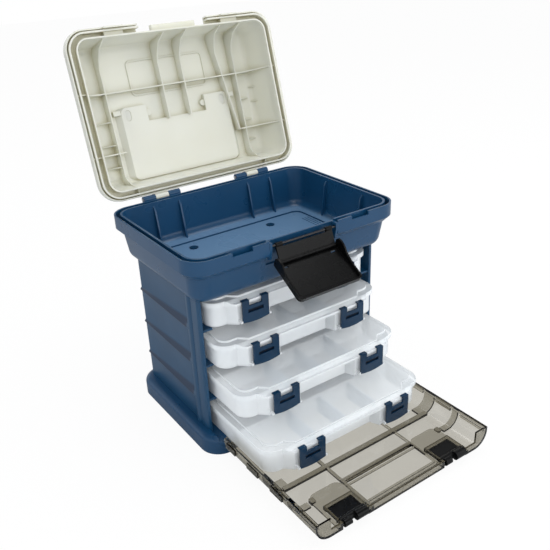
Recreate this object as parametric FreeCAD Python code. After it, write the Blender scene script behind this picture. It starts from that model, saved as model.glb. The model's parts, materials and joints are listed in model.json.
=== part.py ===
"""Fishing tackle cabinet: a rack of four slide-out boxes under an open bin, with a lid, a latch and a door.

Millimetres. X is the width, the front is at -Y and Z is up. The origin lies under the middle of the rack.
The lid stands open, the door lies flat in front and the boxes are drawn out by different lengths.
"""
import FreeCAD, Part
import math
import os

Vector = FreeCAD.Vector

# Shared thicknesses, gaps and pins
skin = 2.5
edge_break = 1.0
overrun = 6.0
moving_gap = 0.5
seat_gap = 0.3
pin_clearance = 0.08

# Boxes in the rack
box_width = 275.0
box_depth = 183.0
box_height = 41.0
box_lid_height = 10.0
box_row_gap = 13.2
box_side_gap = 6.0
box_back_gap = 7.6
box_top_gap = 2.1
box_kept_in = 23.0
box_out_share = {1: 0.016, 2: 0.145, 3: 0.415, 4: 0.75}

# Rim of bin and lid
rim_beyond_body = 23.5
rim_beyond_boxes = 58.0
rim_corner = 30.0

# Plinth
plinth_beyond_body = 16.5
plinth_beyond_back = 17.0
plinth_setback = 2.5
plinth_height = 27.0
plinth_deck_drop = 7.8
plinth_corner = 30.0
plinth_round = 9.0
plinth_skin = 3.0
plinth_rib = 3.0
plinth_rib_shares = (-0.86, -0.43, 0.0, 0.43, 0.86)
plinth_cross_rib_shares = (-0.57, 0.05, 0.68)
plinth_pad = 24.0
plinth_screw_head = 4.0

# Side walls and back wall
body_setback = 32.5
box_front_setback = 15.9
wall = 3.0
pilaster_depth = 34.0
pilaster_bead = 16.0
pilaster_proud = 4.0
pilaster_flange_proud = 2.5
ledge_drop = 6.3
ledge_front_height = 16.0
ledge_back_height = 4.0
ledge_front_proud = 4.0
ledge_back_proud = 2.2
ledge_lip = 1.2
rail_width = 15.0
rail_thickness = 3.0
ceiling_thickness = 2.8

# Bin
bin_height = 67.0
bin_band_height = 27.0
bin_band_chamfer = 8.0
bin_inset_top = 8.0
bin_inset_bottom = 13.0
bin_inset_bottom_deep = 16.0
bin_corner = 24.0
bin_bottom_round = 16.0
bin_groove_depth = 12.0
bin_groove_width = 5.5
bin_step_height = 2.5
bin_step_width = 17.0
bin_step_depth = 22.0
bin_rib = 2.5
bin_rib_reach = 6.0
bin_back_rib_places = (61.0, 103.0)
bin_side_rib_places = (30.0, -54.0)
bin_rib_top_drop = 6.0
bin_ridge = 1.6
bin_ridge_height = 0.9
bin_ridge_places = (4.0, 9.0, 14.0)
bin_ridge_length = 96.0
floor_dimple = 7.2
floor_dimple_depth = 1.0
floor_screw_x = 69.0
floor_screw_y = 60.0
screw_shank = 2.0
screw_head = 6.0
screw_head_height = 1.6

# Lid
lid_height = 58.5
lid_open_angle = 105.8
lid_gap = 0.5
lid_wall = 2.2
lid_skirt = 12.0
lid_skirt_round = 2.0
lid_lip = 4.6
lid_inset_side = 13.5
lid_inset_end = 12.4
lid_inset_side_top = 23.0
lid_inset_end_top = 19.0
lid_dome_corner = 19.0
lid_top_corner = 15.0
lid_top_round = 13.0
lid_tongue = 2.5
lid_tongue_depth = 3.0
lid_rib = 2.0
lid_rib_height = 16.5
lid_long_rib_places = (113.0, 19.0)
lid_middle_rib_near = 110.0
lid_gusset = 40.0
lid_gusset_shares = ((0.1, 0.0), (0.33, 0.56), (0.68, 0.86), (1.0, 1.0))
lid_cross_rib_place = 160.0
lid_short_rib_place = 72.0
lid_short_rib_start = 103.0
lid_wall_rib_places = (112.0, 135.0)
lid_wall_rib = 17.0
lid_fin_places = (52.0, 85.0, 119.0)
lid_fin_height = 14.0
lid_fin_length = 24.0
lid_slant_rib = ((80.0, 212.0), (101.0, 71.0))
lid_channel_web_places = (72.0, 160.0)
lid_pad_near = 81.0
lid_pad_far = 110.0
lid_block_half_width = 101.0
lid_block_near = 27.0
lid_block_far = 136.5
lid_block_height = 8.0
lid_block_slope = 8.0
lid_block_corner = 9.0
lid_notch_half_width = 50.7
lid_notch_depth = 24.5
lid_boss_place = 48.5
lid_boss_radius = 5.0
lid_boss_height = 6.0
lid_dimple_place = 82.4
lid_dimple_half_width = 4.5
lid_dimple_length = 16.0
lid_dimple_depth = 0.8
lid_label_half_width = 66.0
lid_label_near = 151.0
lid_label_far = 204.0
lid_label_ridge = 1.5
lid_label_corner = 8.0
lid_lug_height = 5.0
lid_front_opening = 57.0

# Lid hinge
hinge_behind_rim = 5.5
hinge_above_rim = 1.0
hinge_knuckle_radius = 5.0
hinge_pin_radius = 2.0
hinge_places = (60.0, 101.0)
hinge_knuckle_width = 19.0
hinge_web = 10.0

# Carrying handle
handle_side_gap = 6.5
handle_arm = 14.0
handle_grip = 20.0
handle_thickness = 5.5
handle_end_gap = 1.3
handle_pin_radius = 1.5
handle_knuckle = 3.2
handle_pin_boss = 7.0
handle_boss_gap = 2.0
handle_corner = 12.0
handle_edge = 1.5

# Front latch
latch_opening = 112.0
latch_opening_depth = 26.0
latch_pocket_drop = 36.0
latch_pivot_setback = 2.5
latch_pivot_drop = 8.0
latch_link_length = 23.0
latch_link_lean = 21.0
latch_link_thickness = 2.5
latch_link_half_width = 45.5
latch_link_hook = 10.0
latch_cover_half_width = 51.5
latch_cover_length = 60.0
latch_cover_droop = 32.0
latch_cover_thickness = 2.5
latch_cover_side = 2.5
latch_cover_rim = 4.5
latch_cover_corner = 6.0
latch_cover_ear_length = 42.0
latch_cover_ear_height = 13.5
latch_cover_ear_shares = ((-0.07, 0.0), (-0.1, 0.6), (-0.05, 0.88), (0.07, 1.0), (0.21, 0.97), (0.33, 0.85),
                          (0.45, 0.63), (0.62, 0.47), (0.8, 0.38), (1.0, 0.33), (1.0, 0.0))
latch_panel_half_width = 46.0
latch_panel_height = 0.8
latch_panel_start = 17.0
latch_panel_bow = 90.0
latch_slot_width = 9.0
latch_slot_inset = 12.0
latch_knuckle = 3.0
latch_pin_radius = 1.6
latch_ear = 4.0
latch_catch_half_width = 36.0
latch_catch_low = 1.0
latch_catch_height = 7.0
latch_catch_reach = 8.5

# Door
door_beyond_body = 0.5
door_below_bin = 24.0
door_depth = 28.0
door_low = 7.0
door_side_round = 22.0
door_skin = 2.5
door_gap_to_plinth = 3.0
door_axis_inset = 6.0
door_axis_height = 13.0
door_end_height = 11.0
door_rib = 2.0
door_rib_height = 4.0
door_rim = 5.0
door_rim_height = 2.5
door_ear_inset = 19.0
door_ear = 9.0
door_ear_radius = 5.0
door_pin_radius = 2.5
door_bar_place = 112.0
door_bar_width = 6.5
door_bar_height = 4.5
door_long_ribs = ((-58.5, 3.6), (62.0, 1.8))
door_long_rib_near = 60.0
door_bead_place = 145.0
door_bead_radius = 4.5
door_window_near = 154.0
door_window_far = 190.0
door_window_gap = 4.0
door_saddles = ((94.0, 112.0), (147.0, 156.0))
door_saddle_thickness = 3.0
door_saddle_arc_share = 0.35
door_side_ledge = 3.0
door_side_ledge_drop = 7.5
door_side_ledges = ((112.0, 143.0), (160.0, 200.0))
door_bumps = ((12.0, 34.0), (62.0, 87.0), (114.0, 139.0))
door_bump_proud = 2.4
door_bump_height = 8.0
door_platform_near = 140.0
door_platform_outer = 113.0
door_platform_height = 2.6
door_platform_corner = 12.0
door_tab_place = 111.0
door_tab_along = 150.0
door_tab_length = 9.0
door_tab_width = 7.0
door_latch_inset = 60.5
door_latch_width = 39.5
door_latch_length = 25.0
door_latch_thickness = 3.0
door_latch_knuckle = 5.0
door_latch_grip = 6.0
door_latch_pin_radius = 1.5
door_latch_setback = 8.0

# Slide-out boxes
box_skin = 1.8
box_corner = 23.0
box_back_corner = 8.0
box_body_inset = 4.0
box_nose = 11.0
box_nose_inset = 23.5
box_nose_slope = 11.0
box_recess_depth = 14.0
box_recess_slope = 6.0
box_lid_step = 3.0
box_lid_step_inset = 9.0
box_front_drop = 3.5
box_front_ledge = 4.2
box_divider = 1.5
box_divider_gap = 1.0
box_long_divider_share = 0.55
box_cross_divider_shares = (-0.62, -0.22, 0.2, 0.6)
box_short_divider_shares = (-0.45, 0.0, 0.45)
box_hinge_radius = 2.0
box_hinge_inset = 57.5
box_hinge_length = 24.0
box_hinge_knuckle = 1.6
clip_inset = 39.4
clip_to_recess = 12.1
clip_width = 41.0
clip_foot_height = 5.4
clip_thickness = 2.6
clip_prong = 10.5
clip_notch = 9.0
clip_slot_height = 5.0
clip_slot_drop = 14.0
clip_slot_inset = 8.4
clip_lip = 3.0
clip_lip_thickness = 1.6
clip_pivot_radius = 1.2
clip_lug = 3.0

# Places that follow from the sizes above
box_stroke = box_depth - box_kept_in
body_width = box_width + 2 * (box_side_gap + wall)
rim_width = body_width + 2 * rim_beyond_body
rim_depth = box_depth + rim_beyond_boxes
half_body = body_width / 2
half_rim = rim_width / 2
half_rim_depth = rim_depth / 2
half_plinth = half_body + plinth_beyond_body
body_front = body_setback - half_rim_depth
box_home_front = box_front_setback - half_rim_depth
body_back = box_home_front + box_depth + box_back_gap + wall
pilaster_back = body_front + pilaster_depth
plinth_front = plinth_setback - half_rim_depth
plinth_back = body_back + plinth_beyond_back
deck_top = plinth_height - plinth_deck_drop
lowest_box_floor = deck_top + seat_gap
box_pitch = box_height + box_row_gap
rack_ceiling = lowest_box_floor + 3 * box_pitch + box_height + box_top_gap
bin_bottom = rack_ceiling + ceiling_thickness
rim_top = bin_bottom + bin_height
band_bottom = rim_top - bin_band_height
hinge_y = half_rim_depth + hinge_behind_rim
hinge_z = rim_top + hinge_above_rim
lid_rim = rim_top + lid_gap
lid_top = lid_rim + lid_height
lid_ceiling = lid_top - skin
handle_width = 2 * (lid_block_half_width - skin - handle_side_gap)
door_half_width = half_body + door_beyond_body
door_length = bin_bottom - door_below_bin
door_near = plinth_front - door_gap_to_plinth
door_far = door_near - door_length
door_axis_y = plinth_front + door_axis_inset
door_ear_place = door_half_width - door_ear_inset
door_latch_place = door_half_width - door_latch_inset
box_nose_half_width = box_width / 2 - box_nose_inset
box_hinge_place = box_width / 2 - box_hinge_inset
clip_place = box_nose_half_width - clip_inset
box_recess_half_width = clip_place - clip_width / 2 - clip_to_recess
box_front_height = box_height - box_lid_step - box_front_drop
clip_pivot_height = clip_foot_height + clip_pivot_radius


def box(x0, x1, y0, y1, z0, z1):
    """A block between two values on each axis."""
    return Part.makeBox(x1 - x0, y1 - y0, z1 - z0, Vector(x0, y0, z0))


def outline(x0, x1, y0, y1, z, front_radius, back_radius=None):
    """Rectangle with rounded corners as a closed wire at height z; the back pair may have its own radius."""
    back_radius = front_radius if back_radius is None else back_radius
    corners = ((x1, y0, front_radius, -90), (x1, y1, back_radius, 0),
               (x0, y1, back_radius, 90), (x0, y0, front_radius, 180))
    edges = []
    last = None
    for x, y, radius, start in corners:
        centre = Vector(x - math.copysign(radius, x - x0 - (x1 - x0) / 2),
                        y - math.copysign(radius, y - y0 - (y1 - y0) / 2), z)
        points = [centre + Vector(radius * math.cos(math.radians(a)), radius * math.sin(math.radians(a)), 0)
                  for a in (start, start + 45, start + 90)]
        if last is not None:
            edges.append(Part.LineSegment(last, points[0]).toShape())
        else:
            first = points[0]
        edges.append(Part.Arc(*points).toShape())
        last = points[2]
    edges.append(Part.LineSegment(last, first).toShape())
    return Part.Wire(edges)


def rounded_block(x0, x1, y0, y1, z0, z1, front_radius, back_radius=None):
    """Upright block with rounded vertical corners."""
    face = Part.Face(outline(x0, x1, y0, y1, z0, front_radius, back_radius))
    return face.extrude(Vector(0, 0, z1 - z0))


def sloped_block(low, high, z0, z1, low_radius, high_radius):
    """Block between two rounded outlines, each given by its two x and its two y values."""
    wires = [outline(*sides, z, radius) for sides, z, radius in ((low, z0, low_radius), (high, z1, high_radius))]
    return Part.makeLoft(wires, True, True)


def tapered_block(low, high, z0, z1, low_radius, high_radius):
    """Block that narrows between two rounded outlines, each given as half width and half depth."""
    low_sides, high_sides = [(-half_x, half_x, -half_y, half_y) for half_x, half_y in (low, high)]
    return sloped_block(low_sides, high_sides, z0, z1, low_radius, high_radius)


def rounded_at(shape, z, radius):
    """The shape with its edges at height z rounded."""
    flat = [edge for edge in shape.Edges if abs(edge.BoundBox.ZMin - z) < pin_clearance
            and abs(edge.BoundBox.ZMax - z) < pin_clearance]
    return shape.makeFillet(radius, flat)


def chamfered_at(shape, z, size):
    """The shape with its edges at height z cut off at 45 degrees."""
    flat = [edge for edge in shape.Edges if abs(edge.BoundBox.ZMin - z) < pin_clearance
            and abs(edge.BoundBox.ZMax - z) < pin_clearance]
    return shape.makeChamfer(size, flat)


def rod(x0, x1, y, z, radius):
    """Round bar along X."""
    return Part.makeCylinder(radius, x1 - x0, Vector(x0, y, z), Vector(1, 0, 0))


def post(x, y, z0, z1, radius):
    """Round bar along Z."""
    return Part.makeCylinder(radius, z1 - z0, Vector(x, y, z0), Vector(0, 0, 1))


def prism_x(points, x0, x1):
    """Outline of (y, z) points, stretched along X."""
    wire = Part.makePolygon([Vector(x0, y, z) for y, z in points + points[:1]])
    return Part.Face(wire).extrude(Vector(x1 - x0, 0, 0))


def prism_y(points, y0, y1):
    """Outline of (x, z) points, stretched along Y."""
    wire = Part.makePolygon([Vector(x, y0, z) for x, z in points + points[:1]])
    return Part.Face(wire).extrude(Vector(0, y1 - y0, 0))


def prism_z(points, z0, z1):
    """Outline of (x, y) points, stretched along Z."""
    wire = Part.makePolygon([Vector(x, y, z0) for x, y in points + points[:1]])
    return Part.Face(wire).extrude(Vector(0, 0, z1 - z0))


def mirrored(shape):
    """The same shape on the other side of the middle plane."""
    return shape.mirror(Vector(0, 0, 0), Vector(1, 0, 0))


def both(shapes):
    """Shapes and their mirror images."""
    return list(shapes) + [mirrored(shape) for shape in shapes]


def joined(shapes):
    """One solid out of several that touch or overlap."""
    first, *others = shapes
    return first.fuse(others).removeSplitter() if others else first


def turned(shape, y, z, angle):
    """The shape turned about an axis along X through (y, z)."""
    moved = shape.copy()
    moved.rotate(Vector(0, y, z), Vector(1, 0, 0), angle)
    return moved


def group(shapes):
    """Separate solids that share one node."""
    return Part.makeCompound(shapes)


def save(name, shape):
    """Write one sub-part and report its size."""
    solids = shape.Solids
    print(f"{name}: {len(solids)} solid(s), {shape.Volume / 1000:.1f} cm3, valid {shape.isValid()}")
    shape.exportStep(f"parts/{name}.step")


def box_floor_height(number):
    """Underside of a box; box 4 is the lowest."""
    return lowest_box_floor + (4 - number) * box_pitch


def box_shift(number):
    """How far a box stands out from its home place."""
    return -box_out_share[number] * box_stroke


def bin_outside():
    """Outer form of the bin below its band."""
    low = (half_rim - bin_inset_bottom, half_rim_depth - bin_inset_bottom_deep)
    high = (half_rim - bin_inset_top, half_rim_depth - bin_inset_top)
    form = tapered_block(low, high, bin_bottom, band_bottom + bin_band_chamfer, bin_corner, bin_corner)
    return rounded_at(form, bin_bottom, bin_bottom_round)


def bin_inside():
    """Space inside the bin, above the step round its floor."""
    low = (half_rim - bin_inset_bottom - skin, half_rim_depth - bin_inset_bottom_deep - skin)
    high = (half_rim - bin_inset_top - skin, half_rim_depth - bin_inset_top - skin)
    low_z = bin_bottom + skin + bin_step_height
    form = tapered_block(low, high, low_z, rim_top + overrun, bin_corner - skin, bin_corner - skin)
    return rounded_at(form, low_z, bin_bottom_round - skin)


def bin_solid():
    """Outer form of the bin with its band."""
    band = rounded_block(-half_rim, half_rim, -half_rim_depth, half_rim_depth, band_bottom, rim_top, rim_corner)
    return bin_outside().fuse(chamfered_at(band, band_bottom, bin_band_chamfer))


def bin_inner_reach(z):
    """Distance of the bin's inner front face from the middle, at a height."""
    low_z, high_z = bin_bottom + skin + bin_step_height, rim_top + overrun
    low, high = half_rim_depth - bin_inset_bottom_deep - skin, half_rim_depth - bin_inset_top - skin
    return low + (high - low) * (z - low_z) / (high_z - low_z)


def bin_floor():
    """Half width, half depth and height of the sunk middle of the bin's floor."""
    return (half_rim - bin_inset_bottom - skin - bin_step_width,
            half_rim_depth - bin_inset_bottom_deep - skin - bin_step_depth, bin_bottom + skin)


def bin_ribs():
    """Upright ribs on the bin's back and side walls and low ridges at the ends of its floor."""
    low = bin_bottom + skin
    high = rim_top - bin_rib_top_drop
    back = half_rim_depth - bin_inset_top - skin
    side = half_rim - bin_inset_top - skin
    ribs = []
    for x in bin_back_rib_places:
        face = [(back + skin, low), (back + skin, high), (back - bin_rib_reach / 3, high),
                (back - bin_rib_reach, high - bin_rib_reach), (back - 3 * bin_rib_reach, low)]
        ribs.append(prism_x(face, x - bin_rib / 2, x + bin_rib / 2))
    for y in bin_side_rib_places:
        face = [(side + skin, low), (side + skin, high), (side - bin_rib_reach / 3, high),
                (side - bin_rib_reach, high - bin_rib_reach), (side - 2 * bin_rib_reach, low)]
        ribs.append(prism_y(face, y - bin_rib / 2, y + bin_rib / 2))
    floor_x, floor_y, floor_z = bin_floor()
    for place in bin_ridge_places:
        x = floor_x - place
        ribs.append(box(x - bin_ridge / 2, x + bin_ridge / 2, -bin_ridge_length / 2, bin_ridge_length / 2,
                        floor_z - skin / 2, floor_z + bin_ridge_height))
    trim = bin_solid()
    return [rib.common(trim) for rib in both(ribs)]


def bin_knuckles():
    """Hinge barrels behind the bin's rim."""
    parts = []
    for place in hinge_places:
        x0 = place - hinge_knuckle_width / 2
        x1 = place + hinge_knuckle_width / 2
        web = prism_x([(half_rim_depth - skin, hinge_z - hinge_web), (half_rim_depth - skin, rim_top),
                       (half_rim_depth + moving_gap, rim_top), (hinge_y, hinge_z),
                       (hinge_y, hinge_z - hinge_knuckle_radius)], x0, x1)
        parts += [web, rod(x0, x1, hinge_y, hinge_z, hinge_knuckle_radius)]
    return both(parts)


def latch_recess():
    """Space in the bin's front in which the latch folds, with a full wall left behind it."""
    low, high = rim_top - latch_pocket_drop, rim_top + overrun
    ahead = -half_rim_depth - overrun
    points = [(ahead, low), (-bin_inner_reach(low) - skin, low), (-bin_inner_reach(high) - skin, high), (ahead, high)]
    return prism_x(points, -latch_opening / 2, latch_opening / 2)


def top_bin():
    """Open bin with a double rim, ribs, hinge barrels and the ears of the front latch."""
    inner_lip = bin_inset_top
    outer_lip = inner_lip - bin_groove_width
    groove_z = rim_top - bin_groove_depth
    groove = rounded_block(-half_rim + outer_lip, half_rim - outer_lip, -half_rim_depth + outer_lip,
                           half_rim_depth - outer_lip, groove_z, rim_top + overrun, rim_corner - outer_lip)
    groove = groove.cut(rounded_block(-half_rim + inner_lip, half_rim - inner_lip, -half_rim_depth + inner_lip,
                                      half_rim_depth - inner_lip, groove_z - overrun, rim_top + 2 * overrun,
                                      bin_corner))
    tub = bin_solid().cut([bin_inside(), groove])
    floor_x, floor_y, floor_z = bin_floor()
    tub = tub.cut(rounded_block(-floor_x, floor_x, -floor_y, floor_y, floor_z, floor_z + overrun,
                                bin_corner - skin - bin_step_width / 2))
    tub = joined([tub] + bin_ribs() + bin_knuckles())
    ear_x = latch_opening / 2
    link_relief = box(-ear_x, ear_x, -half_rim_depth - overrun, -half_rim_depth + inner_lip + overrun,
                      rim_top - skin, rim_top + overrun)
    cuts = [latch_recess(), link_relief]
    for x0 in (-lid_pad_far - moving_gap, lid_pad_near - moving_gap):
        cuts.append(box(x0, x0 + lid_pad_far - lid_pad_near + 2 * moving_gap, -half_rim_depth - overrun,
                        -half_rim_depth + skin + moving_gap, rim_top - lid_lug_height - moving_gap,
                        rim_top + overrun))
    x0 = hinge_places[0] + hinge_knuckle_width / 2
    x1 = hinge_places[1] - hinge_knuckle_width / 2
    cuts += both([rod(x0, x1, hinge_y, hinge_z, hinge_knuckle_radius + moving_gap)])
    tub = tub.cut(cuts)
    pivot_y, pivot_z = latch_pivot()
    low, high = rim_top - latch_opening_depth, rim_top - skin
    ears = []
    for x0 in (ear_x - latch_ear, -ear_x):
        ears.append(prism_x([(-bin_inner_reach(low) - skin / 2, low), (-bin_inner_reach(high) - skin / 2, high),
                             (pivot_y - latch_knuckle, high), (pivot_y - latch_knuckle, pivot_z - latch_knuckle),
                             (-half_rim_depth + outer_lip, low)], x0, x0 + latch_ear))
    tub = joined([tub] + ears)
    holes = both([rod(min(hinge_places) - hinge_knuckle_width, max(hinge_places) + hinge_knuckle_width,
                      hinge_y, hinge_z, hinge_pin_radius + pin_clearance)])
    holes.append(rod(-ear_x - overrun, ear_x + overrun, pivot_y, pivot_z, latch_pin_radius + pin_clearance))
    for x in (-floor_screw_x, floor_screw_x):
        for y in (-floor_screw_y, floor_screw_y):
            holes.append(post(x, y, floor_z - floor_dimple_depth, floor_z + overrun, floor_dimple))
            holes.append(post(x, y, bin_bottom - overrun, floor_z + overrun, screw_shank + pin_clearance))
    return tub.cut(holes)


def screw(x, y, z, up, length, head_radius):
    """Round-headed screw with its head's underside at z, pointing down, or up where up is 1."""
    shank = post(x, y, min(z, z + up * length), max(z, z + up * length), screw_shank)
    head_end = z - up * screw_head_height
    head = post(x, y, min(z, head_end), max(z, head_end), head_radius)
    return joined([head, shank])


def bin_screws():
    """Screws that hold the bin down on the rack's ceiling."""
    head_seat = bin_bottom + skin - floor_dimple_depth
    length = head_seat - rack_ceiling
    return group([screw(x, y, head_seat, -1, length, screw_head)
                  for x in (-floor_screw_x, floor_screw_x) for y in (-floor_screw_y, floor_screw_y)])


def door_notches(grow):
    """Spaces in the plinth's front edge in which the door's hinge ears turn."""
    reach = door_ear_radius + 2 * grow
    return both([box(door_ear_place - door_ear / 2 - grow, door_ear_place + door_ear / 2 + grow,
                     plinth_front - overrun, door_axis_y + reach, door_axis_height - reach,
                     plinth_height + overrun)])


def plinth_screw_places():
    """Where the screws come up through the plinth into the feet of the walls."""
    x = half_body - wall / 2 - rail_thickness
    return [(side * x, y) for side in (-1, 1) for y in (body_front / 2, body_back / 2)]


def base_plinth():
    """Rounded foot with a sunk deck on which the lowest box slides, ribbed underneath."""
    inner = half_body - wall
    form = plinth_form_above_deck()
    form = form.cut([box(-inner, inner, plinth_front - overrun, body_back, deck_top, plinth_height + overrun),
                     box(-door_half_width - moving_gap, door_half_width + moving_gap, plinth_front - overrun,
                         body_front - moving_gap, deck_top + skin, plinth_height + overrun)])
    hollow = rounded_block(-half_plinth + plinth_skin, half_plinth - plinth_skin, plinth_front + plinth_skin,
                           plinth_back - plinth_skin, -overrun, deck_top - plinth_skin,
                           plinth_corner - plinth_skin)
    form = form.cut(hollow)
    low, high = 0, deck_top - plinth_skin / 2
    edge_x = half_plinth - plinth_skin / 2
    edge_front = plinth_front + plinth_skin / 2
    edge_back = plinth_back - plinth_skin / 2
    middle = (plinth_front + plinth_back) / 2
    half_depth = (plinth_back - plinth_front) / 2
    ribs = []
    for share in plinth_cross_rib_shares:
        y = middle + share * half_depth
        ribs.append(box(-edge_x, edge_x, y - plinth_rib / 2, y + plinth_rib / 2, low, high))
    for share in plinth_rib_shares:
        x = share * half_plinth
        ribs.append(box(x - plinth_rib / 2, x + plinth_rib / 2, edge_front, edge_back, low, high))
    ribs.append(box(-plinth_pad / 2, plinth_pad / 2, -plinth_pad / 2, plinth_pad / 2, low, high))
    reach = door_ear_radius + 4 * moving_gap + plinth_skin
    ribs += both([box(door_ear_place - door_ear, door_ear_place + door_ear, edge_front,
                      door_axis_y + reach, low + plinth_skin, high)])
    ribs += [post(x, y, low + plinth_skin, high, 2 * plinth_screw_head) for x, y in plinth_screw_places()]
    form = joined([form] + ribs)
    cuts = door_notches(moving_gap)
    cuts += both([rod(door_ear_place - door_ear + plinth_skin / 2, door_ear_place + door_ear - plinth_skin / 2,
                      door_axis_y, door_axis_height, door_pin_radius + pin_clearance)])
    for x, y in plinth_screw_places():
        cuts.append(post(x, y, -overrun, plinth_height + overrun, screw_shank + pin_clearance))
        cuts.append(post(x, y, -overrun, plinth_skin + screw_head_height, plinth_screw_head + moving_gap))
    return form.cut(cuts)


def plinth_screws():
    """Screws from below into the side walls' feet."""
    seat = plinth_skin + screw_head_height
    length = deck_top + rail_thickness - seat
    return group([screw(x, y, seat, 1, length, plinth_screw_head) for x, y in plinth_screw_places()])


def pilaster():
    """Rounded post along the front edge of the left wall, seen from above as lines and arcs."""
    inner = -half_body + wall
    outer = -half_body
    bead_end = pilaster_back - pilaster_bead
    points = {"a": (inner, pilaster_back), "b": (outer, pilaster_back),
              "bead": (outer - pilaster_proud, pilaster_back - pilaster_bead / 2),
              "c": (outer - edge_break, bead_end), "d": (outer - pilaster_flange_proud, bead_end - edge_break),
              "e": (outer - pilaster_flange_proud, body_front + skin), "f": (outer - edge_break, body_front),
              "g": (inner, body_front)}
    at = {name: Vector(x, y, deck_top + wall) for name, (x, y) in points.items()}
    edges = [Part.LineSegment(at["a"], at["b"]).toShape(), Part.Arc(at["b"], at["bead"], at["c"]).toShape(),
             Part.LineSegment(at["c"], at["d"]).toShape(), Part.LineSegment(at["d"], at["e"]).toShape(),
             Part.LineSegment(at["e"], at["f"]).toShape(), Part.LineSegment(at["f"], at["g"]).toShape(),
             Part.LineSegment(at["g"], at["a"]).toShape()]
    face = Part.Face(Part.Wire(edges))
    return face.extrude(Vector(0, 0, bin_bottom + overrun - deck_top - wall))


def wall_ledge(low):
    """Outward ledge over one rail: a slope above a flat underside, taller towards the front."""
    wires = []
    for y, height, proud in ((pilaster_back - pilaster_bead / 2, ledge_front_height, ledge_front_proud),
                             (body_back, ledge_back_height, ledge_back_proud)):
        outer = -half_body
        wires.append(Part.makePolygon([Vector(x, y, z) for x, z in (
            (outer + wall / 2, low), (outer - proud, low), (outer - proud, low + ledge_lip),
            (outer, low + height), (outer + wall / 2, low + height), (outer + wall / 2, low))]))
    return Part.makeLoft(wires, True, True)


def left_side_wall():
    """Left wall with its post, three ledges, three inner rails and a foot that is screwed to the plinth."""
    inner = -half_body + wall
    plate = box(-half_body, inner, body_front + skin, body_back, plinth_height, bin_bottom + overrun)
    parts = [plate, pilaster()]
    for number in (1, 2, 3):
        seat = box_floor_height(number)
        parts.append(wall_ledge(seat - ledge_drop))
        parts.append(box(inner - wall / 2, inner + rail_width, body_front + skin, body_back - wall - seat_gap,
                         seat - seat_gap - rail_thickness, seat - seat_gap))
    shape = joined(parts)
    cuts = [bin_outside(), plinth_form_above_deck()]
    cuts += [post(x, y, deck_top, plinth_height + overrun, screw_shank) for x, y in plinth_screw_places()[:2]]
    return shape.cut(cuts)


def plinth_form_above_deck():
    """Solid outer form of the plinth, which the walls stand on."""
    form = rounded_block(-half_plinth, half_plinth, plinth_front, plinth_back, 0, plinth_height, plinth_corner)
    return rounded_at(form, plinth_height, plinth_round)


def back_wall():
    """Back panel between the side walls, with low beads that carry on the side ledges."""
    reach = half_body - wall - pin_clearance
    parts = [box(-reach, reach, body_back - wall, body_back, deck_top, bin_bottom + overrun)]
    for number in (1, 2, 3):
        low = box_floor_height(number) - ledge_drop
        parts.append(prism_x([(body_back - wall / 2, low), (body_back + ledge_back_proud, low),
                              (body_back + ledge_back_proud, low + ledge_lip),
                              (body_back - wall / 2, low + ledge_back_height)], -reach, reach))
    return joined(parts).cut(bin_outside())


def rack_ceiling_plate():
    """Plate over the boxes that ties the walls together and carries the bin."""
    reach = half_body - wall - pin_clearance
    plate = box(-reach, reach, body_front + skin, body_back - wall - pin_clearance, rack_ceiling, bin_bottom)
    holes = [post(x, y, rack_ceiling - overrun, bin_bottom + overrun, screw_shank + pin_clearance)
             for x in (-floor_screw_x, floor_screw_x) for y in (-floor_screw_y, floor_screw_y)]
    return plate.cut(holes)


def lid_skirt_form():
    """Solid outer form of the closed lid's skirt."""
    form = rounded_block(-half_rim, half_rim, -half_rim_depth, half_rim_depth, lid_rim, lid_rim + lid_skirt,
                         rim_corner)
    return rounded_at(form, lid_rim + lid_skirt, lid_skirt_round)


def lid_dome(inset, low, high):
    """Solid form of the closed lid's dome, drawn in by an inset, between two levels."""
    wide = (half_rim - lid_inset_side - inset, half_rim_depth - lid_inset_end - inset)
    narrow = (half_rim - lid_inset_side_top - inset, half_rim_depth - lid_inset_end_top - inset)
    form = tapered_block(wide, narrow, low, high, lid_dome_corner - inset, lid_top_corner - inset)
    return rounded_at(form, high, lid_top_round - inset)


def from_hinge(place):
    """Y of a place that is measured along the closed lid from its hinge line."""
    return hinge_y - place


def rib_side(start, end, start_reach, end_reach):
    """Side view of a rib under the closed lid as (place, z) points; an end that has a reach rises to the rim."""
    low = lid_ceiling - lid_rib_height
    sides = []
    for place, reach, way in ((start, start_reach, 1), (end, end_reach, -1)):
        side = [(place, lid_rim)] + [(place + way * reach * out, lid_rim + (low - lid_rim) * up)
                                     for out, up in lid_gusset_shares]
        sides.append(side if reach else [(place, low)])
    top = lid_ceiling + skin / 2
    return [(start, top)] + sides[0] + sides[1][::-1] + [(end, top)]


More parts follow.
